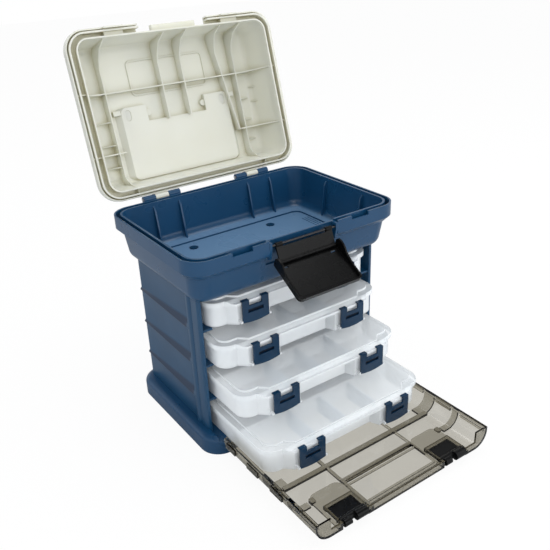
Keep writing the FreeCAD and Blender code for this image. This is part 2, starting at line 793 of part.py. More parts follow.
def lid_ribs():
    """Ribs under the closed lid's ceiling, which rise in gussets where they meet its walls."""
    half = lid_rib / 2
    low, top = lid_ceiling - lid_rib_height, lid_ceiling + skin / 2
    end, side = half_rim_depth - lid_inset_end, half_rim - lid_inset_side
    outer, middle = lid_long_rib_places
    ribs = both([prism_x(rib_side(-end, end, lid_gusset, lid_gusset / 2), outer - half, outer + half),
                 prism_x(rib_side(-end, from_hinge(lid_middle_rib_near), lid_gusset, 0),
                         middle - half, middle + half)])
    cross, short = from_hinge(lid_cross_rib_place), from_hinge(lid_short_rib_place)
    ribs.append(prism_y(rib_side(-side, side, lid_gusset, lid_gusset), cross - half, cross + half))
    ribs += both([prism_y(rib_side(lid_short_rib_start, side, 0, lid_gusset), short - half, short + half)])
    for place in lid_wall_rib_places:
        y = from_hinge(place)
        face = [(side, top), (side, lid_rim + lid_skirt), (side - lid_wall_rib / 4, lid_rim + lid_skirt),
                (side - lid_wall_rib / 2, low), (side - lid_wall_rib, lid_ceiling), (side - lid_wall_rib, top)]
        ribs += both([prism_y(face, y - half, y + half)])
    for place in lid_fin_places:
        y = from_hinge(place)
        face = [(outer, lid_ceiling - lid_fin_height), (outer + lid_fin_length, lid_ceiling),
                (outer + lid_fin_length, top), (outer, top)]
        ribs += both([prism_y(face, y - half, y + half)])
    (x0, t0), (x1, t1) = lid_slant_rib
    lean = math.atan2(x1 - x0, t0 - t1)
    foot = end + from_hinge(t0)
    foot_x = x0 - foot * math.tan(lean)
    length = (foot + t0 - t1) / math.cos(lean)
    slant = prism_x(rib_side(-end, length - end, lid_gusset, 0), foot_x - half, foot_x + half)
    slant.rotate(Vector(foot_x, -end, 0), Vector(0, 0, 1), -math.degrees(lean))
    trim = lid_dome(lid_wall / 2, lid_rim, top)
    return [rib.common(trim) for rib in ribs + [slant]]


def lid_block():
    """Raised block under the closed lid, the underside of the handle's recess, with its notch and studs."""
    low, high = lid_ceiling - lid_block_height, lid_ceiling + skin / 2
    far, near = from_hinge(lid_block_far), from_hinge(lid_block_near)
    face = lid_block_half_width - lid_block_slope
    block = sloped_block((-face, face, far, near), (-lid_block_half_width, lid_block_half_width, far, near),
                         low, lid_ceiling, lid_block_corner, lid_block_corner)
    block = block.fuse(rounded_block(-lid_block_half_width, lid_block_half_width, far, near, lid_ceiling, high,
                                     lid_block_corner))
    notch = box(-lid_notch_half_width, lid_notch_half_width, far - overrun, far + lid_notch_depth, low - overrun,
                lid_ceiling)
    stud_y = far + lid_notch_depth / 2
    dimples = both([rounded_block(lid_dimple_place - lid_dimple_half_width, lid_dimple_place + lid_dimple_half_width,
                                  stud_y - lid_dimple_length / 2, stud_y + lid_dimple_length / 2, low - overrun,
                                  low + lid_dimple_depth, lid_dimple_half_width - pin_clearance)])
    studs = both([post(lid_boss_place, stud_y, lid_ceiling - lid_boss_height, high, lid_boss_radius)])
    return joined([block.cut([notch] + dimples)] + studs).common(lid_dome(0, lid_rim, lid_top))


def recess_half_width(z):
    """Half width of the handle's recess at a height, a wall's thickness inside the block's sloping sides."""
    low = lid_ceiling - lid_block_height
    return lid_block_half_width - lid_block_slope + lid_block_slope * (z - low) / lid_block_height - skin


def handle_recess():
    """Sunk space on top of the closed lid in which the handle lies."""
    floor, high = lid_ceiling - lid_block_height + skin, lid_top + overrun
    far, near = from_hinge(lid_block_far) + skin, from_hinge(lid_block_near) - skin
    low_half, high_half = recess_half_width(floor), recess_half_width(high)
    wide = sloped_block((-low_half, low_half, far, near), (-high_half, high_half, far, near), floor, high,
                        lid_block_corner - skin, lid_block_corner - skin)
    island = box(-lid_notch_half_width - skin, lid_notch_half_width + skin, far - overrun,
                 far + lid_notch_depth, floor - overrun, high + overrun)
    return wide.cut(island)


def handle_pivot():
    """Y and Z of the handle's pins on the closed lid."""
    y = from_hinge(lid_block_far) + skin + handle_knuckle + 2 * moving_gap
    return y, lid_ceiling - lid_block_height + skin + handle_knuckle + moving_gap


def lid_edge_parts():
    """Tongue, webs, pads and lugs between the closed lid's skirt and its dome."""
    under = lid_rim + lid_skirt - skin / 2
    tongue_out = bin_inset_top - bin_groove_width / 2 + lid_tongue / 2
    tongue_in = tongue_out - lid_tongue
    ring = rounded_block(-half_rim + tongue_in, half_rim - tongue_in, -half_rim_depth + tongue_in,
                         half_rim_depth - tongue_in, lid_rim - lid_tongue_depth, under, rim_corner - tongue_in)
    ring = ring.cut(rounded_block(-half_rim + tongue_out, half_rim - tongue_out, -half_rim_depth + tongue_out,
                                  half_rim_depth - tongue_out, lid_rim - 2 * overrun, under + overrun,
                                  rim_corner - tongue_out))
    half = lid_rib / 2
    side0, side1 = half_rim - lid_inset_side - lid_wall / 2, half_rim - lid_wall / 2
    end0, end1 = half_rim_depth - lid_inset_end - lid_wall / 2, half_rim_depth - lid_wall / 2
    webs = []
    for place in lid_channel_web_places:
        y = from_hinge(place)
        webs.append(box(side0, side1, y - half, y + half, lid_rim + edge_break, under))
    x = lid_long_rib_places[0]
    webs += [box(x - half, x + half, end0, end1, lid_rim + edge_break, under),
             box(lid_pad_near, lid_pad_far, -end1, -end0, lid_rim, under),
             box(lid_pad_near, lid_pad_far, -half_rim_depth, -half_rim_depth + skin, lid_rim - lid_lug_height,
                 lid_rim + skin)]
    return [ring] + both(webs)


def closed_lid():
    """Lid shell as it sits when closed."""
    dome = lid_dome(0, lid_rim - lid_lip, lid_top)
    inner = lid_dome(lid_wall, lid_rim - lid_lip, lid_ceiling)
    inner_x, inner_y = half_rim - lid_inset_side - lid_wall, half_rim_depth - lid_inset_end - lid_wall
    below = rounded_block(-inner_x, inner_x, -inner_y, inner_y, lid_rim - lid_lip - overrun, lid_rim - lid_lip,
                          lid_dome_corner - lid_wall)
    channel = rounded_block(-half_rim + lid_wall, half_rim - lid_wall, -half_rim_depth + lid_wall,
                            half_rim_depth - lid_wall, lid_rim - overrun, lid_rim + lid_skirt - skin,
                            rim_corner - lid_wall)
    skirt = joined([lid_skirt_form().cut(channel)] + lid_edge_parts())
    opening = box(-lid_front_opening, lid_front_opening, -half_rim_depth - overrun,
                  -half_rim_depth + 2 * lid_inset_end, lid_rim - overrun, lid_rim + lid_skirt + overrun)
    shell = joined([skirt.cut(opening), dome]).cut([inner, below])
    shell = joined([shell] + lid_ribs())
    label = rounded_block(-lid_label_half_width, lid_label_half_width, from_hinge(lid_label_far),
                          from_hinge(lid_label_near), lid_ceiling - lid_label_ridge, lid_ceiling + skin / 2,
                          lid_label_corner)
    label = label.cut(rounded_block(-lid_label_half_width + skin, lid_label_half_width - skin,
                                    from_hinge(lid_label_far) + skin, from_hinge(lid_label_near) - skin,
                                    lid_ceiling - overrun, lid_ceiling + overrun, lid_label_corner - skin))
    shell = joined([shell, lid_block(), label]).cut(handle_recess())
    catch_back = -half_rim_depth + lid_inset_end
    catch = box(-latch_catch_half_width, latch_catch_half_width, catch_back - latch_catch_reach,
                catch_back + lid_wall / 2, lid_rim + latch_catch_low, lid_rim + latch_catch_low + latch_catch_height)
    x0 = hinge_places[0] + hinge_knuckle_width / 2 + moving_gap
    x1 = hinge_places[1] - hinge_knuckle_width / 2 - moving_gap
    arm = prism_x([(half_rim_depth - skin, lid_rim + skin), (half_rim_depth - skin, lid_rim + hinge_web),
                   (half_rim_depth - edge_break, lid_rim + hinge_web), (hinge_y, hinge_z + hinge_knuckle_radius),
                   (hinge_y, hinge_z), (half_rim_depth, lid_rim)], x0, x1)
    knuckles = both([arm, rod(x0, x1, hinge_y, hinge_z, hinge_knuckle_radius)])
    pivot_y, pivot_z = handle_pivot()
    boss_x = handle_width / 2 + handle_boss_gap
    boss_end = lid_block_half_width - skin + handle_pin_boss
    bosses = both([box(boss_x, boss_end, pivot_y - handle_pin_boss / 2, pivot_y + handle_pin_boss / 2,
                       lid_ceiling - lid_block_height, lid_top - skin / 2)])
    shell = joined([shell, catch] + knuckles + bosses)
    holes = both([rod(x0 - overrun, x1 + overrun, hinge_y, hinge_z, hinge_pin_radius + pin_clearance)])
    holes += both([rod(boss_x - overrun, boss_end - skin / 2, pivot_y, pivot_z,
                       handle_pin_radius + pin_clearance)])
    return shell.cut(holes)


def opened(shape):
    """A lid piece turned from closed to where the open lid stands."""
    return turned(shape, hinge_y, hinge_z, -lid_open_angle)


def lid_hinge_pins():
    """Two steel pins, each through two bin barrels and one lid barrel."""
    x0 = min(hinge_places) - hinge_knuckle_width / 2 - edge_break
    x1 = max(hinge_places) + hinge_knuckle_width / 2 + edge_break
    return group(both([rod(x0, x1, hinge_y, hinge_z, hinge_pin_radius)]))


def closed_handle():
    """Carrying handle folded into the lid's recess."""
    pivot_y, pivot_z = handle_pivot()
    z0, z1 = pivot_z - handle_thickness / 2, pivot_z + handle_thickness / 2
    half = handle_width / 2
    y0, y1 = pivot_y, from_hinge(lid_block_near) - skin - handle_end_gap
    plate = rounded_block(-half, half, y0, y1, z0, z1, handle_edge, handle_corner)
    window = rounded_block(-half + handle_arm, half - handle_arm, y0 - handle_corner, y1 - handle_grip,
                           z0 - overrun, z1 + overrun, handle_edge, handle_corner / 2)
    frame = plate.cut(window)
    frame = frame.makeChamfer(edge_break, [edge for edge in frame.Edges
                                           if edge.BoundBox.ZLength < pin_clearance])
    frame = joined([frame] + both([rod(half - handle_arm, half, pivot_y, pivot_z, handle_knuckle)]))
    bores = both([rod(half - handle_arm - overrun, half + overrun, pivot_y, pivot_z,
                      handle_pin_radius + pin_clearance)])
    return frame.cut(bores)


def handle_pins():
    """Pins from the recess's ends through the handle's arms."""
    pivot_y, pivot_z = handle_pivot()
    x1 = lid_block_half_width + handle_pin_boss - skin - skin / 2
    return group(both([rod(handle_width / 2 - handle_arm, x1 - pin_clearance, pivot_y, pivot_z,
                           handle_pin_radius)]))


def handle_hang_angle():
    """How far gravity swings the handle out of its recess while the lid stands open."""
    return lid_open_angle - 90


def latch_pivot():
    """Y and Z of the pin that carries the latch's link."""
    return latch_pivot_setback - half_rim_depth, rim_top - latch_pivot_drop


def latch_joint():
    """Y and Z of the pin between link and cover, as the link hangs in the photograph."""
    y, z = latch_pivot()
    lean = math.radians(latch_link_lean)
    return y - latch_link_length * math.sin(lean), z - latch_link_length * math.cos(lean)


def latch_link():
    """Link plate between the bin's ears and the cover; hooks at its ends hold the upper pin."""
    y, z = latch_pivot()
    half = latch_link_thickness / 2
    low = z - latch_link_length
    wide = latch_link_half_width
    plate = box(-wide, wide, y - half, y + half, low, z - latch_knuckle - moving_gap)
    hooks = both([rod(wide - latch_link_hook, wide, y, z, latch_knuckle),
                  box(wide - latch_link_hook, wide, y - half, y + half, low, z)])
    bottom = rod(-wide, wide, y, low, latch_knuckle)
    shape = joined([plate, bottom] + hooks)
    shape = shape.cut([rod(-latch_opening, latch_opening, y, height, latch_pin_radius + pin_clearance)
                       for height in (low, z)])
    return turned(shape, y, z, -latch_link_lean)


def latch_cover():
    """Big cover plate with rounded ears, a raised edge and a bowed panel, made lying flat and then drooped."""
    half = latch_cover_half_width
    inside = -latch_knuckle - moving_gap
    outside = inside - latch_cover_thickness
    near, far = latch_knuckle, -latch_cover_length
    plate = rounded_block(-half, half, far, near, outside, inside, latch_cover_corner, edge_break)
    edge = rounded_block(-half, half, far, near, inside - pin_clearance, inside + latch_cover_rim,
                         latch_cover_corner, edge_break)
    side = latch_cover_side
    edge = edge.cut(rounded_block(-half + side, half - side, far + side, near + overrun, inside - overrun,
                                  inside + 2 * latch_cover_rim, latch_cover_corner - side, edge_break))
    profile = [(-along * latch_cover_ear_length, inside - pin_clearance + up * latch_cover_ear_height)
               for along, up in latch_cover_ear_shares]
    ears = [prism_x(profile, x0, x0 + side) for x0 in (-half, half - side)]
    panel_half = latch_panel_half_width
    panel = box(-panel_half, panel_half, far + latch_cover_rim, 0, inside - pin_clearance,
                inside + latch_panel_height)
    panel = panel.cut(post(0, latch_panel_bow - latch_panel_start, inside - overrun, inside + overrun,
                           latch_panel_bow))
    shape = joined([plate, edge, panel] + ears)
    slots = both([box(half - latch_slot_inset - latch_slot_width / 2, half - latch_slot_inset + latch_slot_width / 2,
                      -2 * latch_knuckle - skin, -2 * latch_knuckle, outside - overrun, inside + overrun)])
    shape = shape.cut(slots + [rod(-half - overrun, half + overrun, 0, 0, latch_pin_radius + pin_clearance)])
    shape = turned(shape, 0, 0, latch_cover_droop)
    shape.translate(Vector(0, *latch_joint()))
    return shape


def latch_pins():
    """Pin through the bin's ears and the link, which stays with the bin."""
    y, z = latch_pivot()
    half = latch_opening / 2
    return rod(-half, half, y, z, latch_pin_radius)


def latch_joint_pin():
    """Pin through the link's foot and the cover's flanges."""
    y, z = latch_joint()
    half = latch_cover_half_width
    return rod(-half, half, y, z, latch_pin_radius)


def door_section(inset, low):
    """Cross-section of the door from side to side as a closed wire, drawn in by an inset."""
    half = door_half_width - inset
    radius = door_side_round - inset
    top = door_low + door_depth
    corner = radius * (1 - math.sqrt(0.5))
    y = door_near
    right = [Vector(half, y, top), Vector(half, y, low + radius), Vector(half - corner, y, low + corner),
             Vector(half - radius, y, low)]
    left = [Vector(-point.x, point.y, point.z) for point in right]
    edges = [Part.LineSegment(left[0], right[0]).toShape(), Part.LineSegment(right[0], right[1]).toShape(),
             Part.Arc(right[1], right[2], right[3]).toShape(), Part.LineSegment(right[3], left[3]).toShape(),
             Part.Arc(left[3], left[2], left[1]).toShape(), Part.LineSegment(left[1], left[0]).toShape()]
    return Part.Wire(edges)


def door_trough():
    """Shallow shell of the door: a flat panel with rounded-up, flanged sides and low end walls."""
    outer = Part.Face(door_section(0, door_low)).extrude(Vector(0, -door_length, 0))
    inner = Part.Face(door_section(door_skin, door_low + door_skin)).extrude(Vector(0, -door_length, 0))
    inner_cut = inner.common(box(-half_rim, half_rim, door_far + door_skin, door_near - door_skin, 0, rim_top))
    top = door_low + door_depth
    rims = both([box(door_half_width - door_rim, door_half_width - door_skin / 2, door_far + door_skin / 2,
                     door_near, top - door_rim_height, top)])
    shell = joined([outer.cut(inner_cut)] + rims)
    low_end = door_low + door_end_height
    flat = door_half_width - door_side_round
    gap = box(-flat, flat, door_far - overrun, door_near + overrun, low_end, top + overrun)
    upper = box(-half_rim, half_rim, door_near - 2 * door_skin, door_near + overrun, low_end, rim_top)
    return shell.cut([gap, upper])


def door_place(along):
    """Y of a place that is measured along the open door from its near end."""
    return door_near - along


def door_side_parts():
    """Saddles, ledges and outer bumps along the door's rounded-up sides."""
    low, top = door_low + door_skin, door_low + door_depth
    flat = door_half_width - door_side_round * (1 + door_saddle_arc_share)
    parts = []
    for start, end in door_saddles:
        run = Vector(0, start - end, 0)
        arch = Part.Face(door_section(door_skin / 2, door_low + door_skin / 2)).extrude(run)
        arch = arch.cut(Part.Face(door_section(door_skin + door_saddle_thickness,
                                               low + door_saddle_thickness)).extrude(run))
        arch = arch.cut([box(-flat, flat, door_far, door_near + overrun, 0, rim_top),
                         box(-half_rim, half_rim, door_far, door_near + overrun, top - skin, rim_top)])
        arch.translate(Vector(0, -start, 0))
        parts.append(arch)
    for start, end in door_side_ledges:
        parts += both([box(door_half_width - door_skin - door_side_ledge, door_half_width - door_skin / 2,
                           door_place(end), door_place(start), top - door_side_ledge_drop,
                           top - door_side_ledge_drop + door_rib)])
    for start, end in door_bumps:
        parts += both([box(door_half_width - door_skin / 2, door_half_width + door_bump_proud, door_place(end),
                           door_place(start), top - door_rim_height - door_bump_height, top - door_rim_height)])
    return parts


def door_floor_parts():
    """Bar, ribs, bead, window border, platforms and tabs on the door's flat panel."""
    low = door_low + door_skin
    high = low + door_rib_height
    half = door_rib / 2
    flat = door_half_width - door_side_round + door_skin
    bar = door_place(door_bar_place)
    parts = [box(-flat, flat, bar - door_bar_width / 2, bar + door_bar_width / 2, low - half, low + door_bar_height)]
    (left, left_width), (right, right_width) = door_long_ribs
    for x, width in door_long_ribs:
        parts.append(box(x - width / 2, x + width / 2, door_far + door_skin / 2, door_place(door_long_rib_near),
                         low - half, high))
    for along in (door_window_near, door_window_far, door_window_far + door_window_gap):
        y = door_place(along)
        parts.append(box(left, right, y - half, y + half, low - half, low + door_platform_height))
    bead = rod(left, right, door_place(door_bead_place), low, door_bead_radius)
    parts.append(bead.common(box(left, right, door_far, door_near, low - half, rim_top)))
    top = low + door_platform_height
    parts += both([rounded_block(right - right_width / 2, door_platform_outer, door_far + door_skin / 2,
                                 door_place(door_platform_near), low - half, top, edge_break,
                                 door_platform_corner),
                   rounded_block(door_tab_place - door_tab_width / 2, door_tab_place + door_tab_width / 2,
                                 door_place(door_tab_along) - door_tab_length / 2,
                                 door_place(door_tab_along) + door_tab_length / 2, low - half, high + door_rib / 2,
                                 door_rib)])
    return parts


def door_panel():
    """Clear door with ribs, a long bead, latch pockets, and hinge ears."""
    low = door_low + door_skin
    pocket_far = door_far + door_latch_setback - door_latch_knuckle
    pocket_near = door_far + door_latch_setback + door_latch_length
    frame = []
    pockets = []
    for x in (-door_latch_place, door_latch_place):
        x0, x1 = x - door_latch_width / 2 - moving_gap, x + door_latch_width / 2 + moving_gap
        frame.append(box(x0 - door_rib, x1 + door_rib, door_far + door_skin / 2, pocket_near + moving_gap + door_rib,
                         low - door_rib / 2, low + 2 * door_rib_height))
        pockets.append(box(x0, x1, pocket_far - 2 * overrun, pocket_near + moving_gap, 0, rim_top))
    ears = []
    for x in (-door_ear_place, door_ear_place):
        x0, x1 = x - door_ear / 2, x + door_ear / 2
        ears.append(prism_x([(door_near - door_skin / 2, door_low), (door_near - door_skin / 2, low_of_ear()),
                             (door_axis_y, door_axis_height + door_ear_radius),
                             (door_axis_y, door_axis_height - door_ear_radius)], x0, x1))
        ears.append(rod(x0, x1, door_axis_y, door_axis_height, door_ear_radius))
    shape = joined([door_trough()] + door_floor_parts() + door_side_parts() + frame + ears)
    knuckle_y, knuckle_z = door_latch_pivot()
    cuts = pockets + [rod(x - door_ear, x + door_ear, door_axis_y, door_axis_height,
                          door_pin_radius + pin_clearance) for x in (-door_ear_place, door_ear_place)]
    cuts += [rod(x - door_latch_width / 2 - 2 * door_rib, x + door_latch_width / 2 + 2 * door_rib, knuckle_y,
                 knuckle_z, door_latch_pin_radius + pin_clearance) for x in (-door_latch_place, door_latch_place)]
    return shape.cut(cuts)


def low_of_ear():
    """Top of the door's end wall, where a hinge ear leaves it."""
    return door_low + door_end_height


def door_hinge_pins():
    """Pins in the plinth on which the door turns."""
    return group([rod(x - door_ear + plinth_skin / 2, x + door_ear - plinth_skin / 2, door_axis_y,
                      door_axis_height, door_pin_radius) for x in (-door_ear_place, door_ear_place)])


def door_latch_pivot():
    """Y and Z of the pins of the two door latches."""
    return door_far + door_latch_setback, door_low + door_skin + door_latch_thickness


def door_latch(x):
    """Rocking latch at the door's free edge: a flat finger plate, a round barrel, a grip and a hook."""
    y, z = door_latch_pivot()
    half = door_latch_width / 2
    plate = box(x - half, x + half, y, y + door_latch_length - moving_gap, z - door_latch_thickness / 2,
                z + door_latch_thickness / 2)
    plate = plate.makeFillet(edge_break, [edge for edge in plate.Edges
                                          if abs(edge.BoundBox.YMin - plate.BoundBox.YMax) < pin_clearance])
    barrel = rod(x - half, x + half, y, z, door_latch_knuckle)
    hook = rod(x - half + skin, x - half / 3, y - door_latch_knuckle, z, door_latch_knuckle)
    grip = rod(x + skin / 2, x + half - skin / 2, y - door_latch_knuckle, z + skin / 2, door_latch_grip)
    shape = joined([plate, barrel, hook, grip])
    return shape.cut(rod(x - 2 * half, x + 2 * half, y, z, door_latch_pin_radius + pin_clearance))


def door_latch_pins():
    """Pins of the two door latches."""
    y, z = door_latch_pivot()
    reach = door_latch_width / 2 + door_rib
    return group([rod(x - reach, x + reach, y, z, door_latch_pin_radius)
                  for x in (-door_latch_place, door_latch_place)])


def box_outline(inset, nose, recessed):
    """Outline of a slide-out box as (x, y) points with a nose in front, and a finger recess where asked."""
    half = box_width / 2 - inset
    front = box_home_front + inset
    shoulder = front + nose
    back = box_home_front + box_depth - inset
    wide, slope = box_nose_half_width - inset, box_nose_slope
    points = [(-half, back), (-half, shoulder), (-wide, shoulder), (-wide + slope, front)]
    if recessed:
        near, ramp = box_recess_half_width, box_recess_slope
        points += [(-near - ramp, front), (-near, front + box_recess_depth), (near, front + box_recess_depth),
                   (near + ramp, front)]
    points += [(wide - slope, front), (wide, shoulder), (half, shoulder), (half, back)]
    return points


def box_form(inset, z0, z1, recessed):
    """Solid of a box's outline with rounded corners at the ends of the front and at the back."""
    form = prism_z(box_outline(inset, box_nose, recessed), z0, z1)
    half = box_width / 2 - inset
    upright = [edge for edge in form.Edges if edge.BoundBox.ZLength > (z1 - z0) / 2
               and abs(abs(edge.BoundBox.XMin) - half) < pin_clearance]
    front = [edge for edge in upright if edge.BoundBox.YMin < 0]
    back = [edge for edge in upright if edge.BoundBox.YMin > 0]
    form = form.makeFillet(box_corner - inset, front)
    back = [edge for edge in form.Edges if edge.BoundBox.ZLength > (z1 - z0) / 2
            and abs(abs(edge.BoundBox.XMin) - half) < pin_clearance and edge.BoundBox.YMin > 0
            and abs(edge.BoundBox.YMin - (box_home_front + box_depth - inset)) < pin_clearance]
    return form.makeFillet(box_back_corner - min(inset, box_back_corner / 2), back)


def box_hinge():
    """Y and Z of a box lid's hinge, above the box's own underside."""
    return (box_home_front + box_depth + box_hinge_radius,
            box_height - box_lid_height - box_hinge_radius)


def box_base():
    """Lower half of a slide-out box with its lengthwise divider, hinge pins and clip lugs."""
    top = box_height - box_lid_height
    outer = box_form(box_body_inset, 0, top, True)
    outer = rounded_at(outer, 0, skin)
    inner = box_form(box_body_inset + box_skin, box_skin, top + overrun, True)
    shell = outer.cut(inner)
    divider_y = box_home_front + box_depth * (1 - box_long_divider_share)
    half = box_width / 2 - box_body_inset - box_skin / 2
    divider = box(-half, half, divider_y - box_divider / 2, divider_y + box_divider / 2, box_skin / 2, top)
    hinge_y_local, hinge_z_local = box_hinge()
    pins = []
    for x in (-box_hinge_place, box_hinge_place):
        pins.append(rod(x - box_hinge_length / 2, x + box_hinge_length / 2, hinge_y_local, hinge_z_local,
                        box_hinge_radius))
        for end in (x - box_hinge_length / 2, x + box_hinge_length / 2 - box_skin):
            pins.append(box(end, end + box_skin, box_home_front + box_depth - box_body_inset - box_skin / 2,
                            hinge_y_local, hinge_z_local - box_hinge_radius, hinge_z_local + box_hinge_radius))
    lugs = []
    for x in (-clip_place, clip_place):
        for end in (x - clip_width / 2 - clip_lug - moving_gap, x + clip_width / 2 + moving_gap):
            lugs.append(box(end, end + clip_lug, clip_pivot()[0] - clip_lug / 2,
                            box_home_front + box_body_inset + box_skin / 2, clip_pivot_height - clip_lug / 2,
                            clip_pivot_height + clip_lug / 2))
    shell = joined([shell, divider] + pins + lugs)
    bores = [rod(x - clip_width / 2 - clip_lug / 2 - moving_gap, x + clip_width / 2 + clip_lug / 2 + moving_gap,
                 clip_pivot()[0], clip_pivot_height, clip_pivot_radius + pin_clearance)
             for x in (-clip_place, clip_place)]
    return shell.cut(bores)


def front_edge_space(drop):
    """Space over the lowered front edge of a box lid, taken down further by a drop."""
    front = box_home_front
    low, high = box_front_height - drop, box_height - box_lid_step - drop
    face = [(front - overrun, low), (front + box_front_ledge, low), (front + box_lid_step_inset, high),
            (front + box_lid_step_inset, box_height + overrun), (front - overrun, box_height + overrun)]
    return prism_x(face, -box_width, box_width)


def box_lid():
    """Upper half of a slide-out box: a flat cap with a stepped border, a low front edge and hinge hooks."""
    low, high = box_height - box_lid_height, box_height
    outer = box_form(0, low, high - box_lid_step, False)
    outer = rounded_at(outer, high - box_lid_step, edge_break).cut(front_edge_space(0))
    crown = box_form(box_lid_step_inset, high - box_lid_step - skin, high, False)
    crown = rounded_at(crown, high, edge_break)
    inner = box_form(box_skin, low - overrun, high - box_lid_step - box_skin, False)
    inner = inner.cut(front_edge_space(box_skin))
    inner_crown = box_form(box_lid_step_inset + box_skin, low, high - box_skin, False)
    shell = outer.fuse(crown).cut([inner, inner_crown])
    y, z = box_hinge()
    hooks = []
    bores = []
    for x in (-box_hinge_place, box_hinge_place):
        x0 = x - box_hinge_length / 2 + box_skin + moving_gap
        x1 = x + box_hinge_length / 2 - box_skin - moving_gap
        hooks.append(rod(x0, x1, y, z, box_hinge_radius + box_hinge_knuckle))
        hooks.append(box(x0, x1, box_home_front + box_depth - box_skin / 2,
                         y + box_hinge_radius + box_hinge_knuckle, z, low + box_skin))
        bores.append(rod(x0, x1, y, z, box_hinge_radius + pin_clearance))
    return joined([shell] + hooks).cut(bores)


def box_dividers():
    """Loose cross dividers that stand in a box."""
    low = box_skin + seat_gap / 3
    high = box_height - box_lid_height - box_divider_gap
    half = box_width / 2 - box_body_inset - box_skin - box_corner / 2
    divider_y = box_home_front + box_depth * (1 - box_long_divider_share)
    front = box_home_front + box_body_inset + box_skin + box_recess_depth + box_divider_gap
    back = box_home_front + box_depth - box_body_inset - box_skin - seat_gap
    pieces = []
    for share in box_cross_divider_shares:
        x = share * half
        pieces.append(box(x - box_divider / 2, x + box_divider / 2, divider_y + box_divider / 2 + seat_gap, back,
                          low, high))
    for share in box_short_divider_shares:
        x = share * half
        pieces.append(box(x - box_divider / 2, x + box_divider / 2, front, divider_y - box_divider / 2 - seat_gap,
                          low, high))
    return group(pieces)


def clip_pivot():
    """Y and Z of the clips' lower pivots, above the box's own underside."""
    return box_home_front - moving_gap - clip_thickness / 2, clip_pivot_height


def box_clip(x):
    """Clip on the front of a box: two hooked prongs, a slot, a curved foot and pivot studs."""
    y, z = clip_pivot()
    front, back = y - clip_thickness / 2, y + clip_thickness / 2
    half = clip_width / 2
    high = box_front_height + seat_gap + clip_lip_thickness
    low = clip_foot_height
    foot = low - skin
    wire = Part.Wire([Part.LineSegment(Vector(x + half, front, low), Vector(x + half, front, high)).toShape(),
                      Part.LineSegment(Vector(x + half, front, high), Vector(x - half, front, high)).toShape(),
                      Part.LineSegment(Vector(x - half, front, high), Vector(x - half, front, low)).toShape(),
                      Part.Arc(Vector(x - half, front, low), Vector(x, front, foot),
                               Vector(x + half, front, low)).toShape()])
    plate = Part.Face(wire).extrude(Vector(0, clip_thickness, 0))
    notch = box(x - half + clip_prong, x + half - clip_prong, front - overrun, back + overrun, high - clip_notch,
                high + overrun)
    slot = box(x - half + clip_slot_inset, x + half - clip_slot_inset, front - overrun, back + overrun,
               high - clip_slot_drop - clip_slot_height, high - clip_slot_drop)
    lips = [box(x0, x0 + clip_prong, front, back + moving_gap + clip_lip, high - clip_lip_thickness, high)
            for x0 in (x - half, x + half - clip_prong)]
    studs = [rod(x - half - clip_lug / 2, x - half + edge_break, y, z, clip_pivot_radius),
             rod(x + half - edge_break, x + half + clip_lug / 2, y, z, clip_pivot_radius)]
    return joined([plate.cut([notch, slot])] + lips + studs)


def main():
    """Write every sub-part."""
    os.makedirs("parts", exist_ok=True)
    left_wall = left_side_wall()
    parts = {
        "base_plinth": base_plinth(),
        "plinth_screws": plinth_screws(),
        "left_side_wall": left_wall,
        "right_side_wall": mirrored(left_wall),
        "back_wall": back_wall(),
        "rack_ceiling_plate": rack_ceiling_plate(),
        "top_bin": top_bin(),
        "bin_screws": bin_screws(),
        "lid_hinge_pins": lid_hinge_pins(),
        "lid_shell": opened(closed_lid()),
        "handle_pins": opened(handle_pins()),
        "latch_pivot_pin": latch_pins(),
        "latch_link": latch_link(),
        "latch_joint_pin": latch_joint_pin(),
        "latch_cover": latch_cover(),
        "door_panel": door_panel(),
        "door_hinge_pins": door_hinge_pins(),
        "door_latch_left": door_latch(-door_latch_place),
        "door_latch_right": door_latch(door_latch_place),
        "door_latch_pins": door_latch_pins(),
    }
    handle = turned(closed_handle(), *handle_pivot(), handle_hang_angle())
    parts["carry_handle"] = opened(handle)
    pieces = {"base": box_base(), "lid": box_lid(), "dividers": box_dividers(),
              "clip_left": box_clip(-clip_place), "clip_right": box_clip(clip_place)}
    for number in (1, 2, 3, 4):
        for name, shape in pieces.items():
            placed = shape.copy()
            placed.translate(Vector(0, box_shift(number), box_floor_height(number)))
            parts[f"box_{number}_{name}"] = placed
    for name, shape in parts.items():
        save(name, shape)


main()
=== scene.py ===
import bpy
import json
import math
from mathutils import Matrix, Vector


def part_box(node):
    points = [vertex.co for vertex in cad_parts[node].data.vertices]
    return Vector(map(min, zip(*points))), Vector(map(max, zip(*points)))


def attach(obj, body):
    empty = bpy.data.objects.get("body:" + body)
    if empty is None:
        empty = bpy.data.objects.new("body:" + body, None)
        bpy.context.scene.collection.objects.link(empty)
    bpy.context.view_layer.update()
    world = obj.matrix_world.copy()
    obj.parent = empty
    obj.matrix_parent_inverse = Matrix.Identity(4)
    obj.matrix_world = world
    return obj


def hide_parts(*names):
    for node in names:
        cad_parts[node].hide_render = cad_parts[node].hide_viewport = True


# Fishing tackle cabinet: bin and lid on top, four slide-out boxes, smoke door lying in front.
# Metres, in the frame of the CAD pieces.

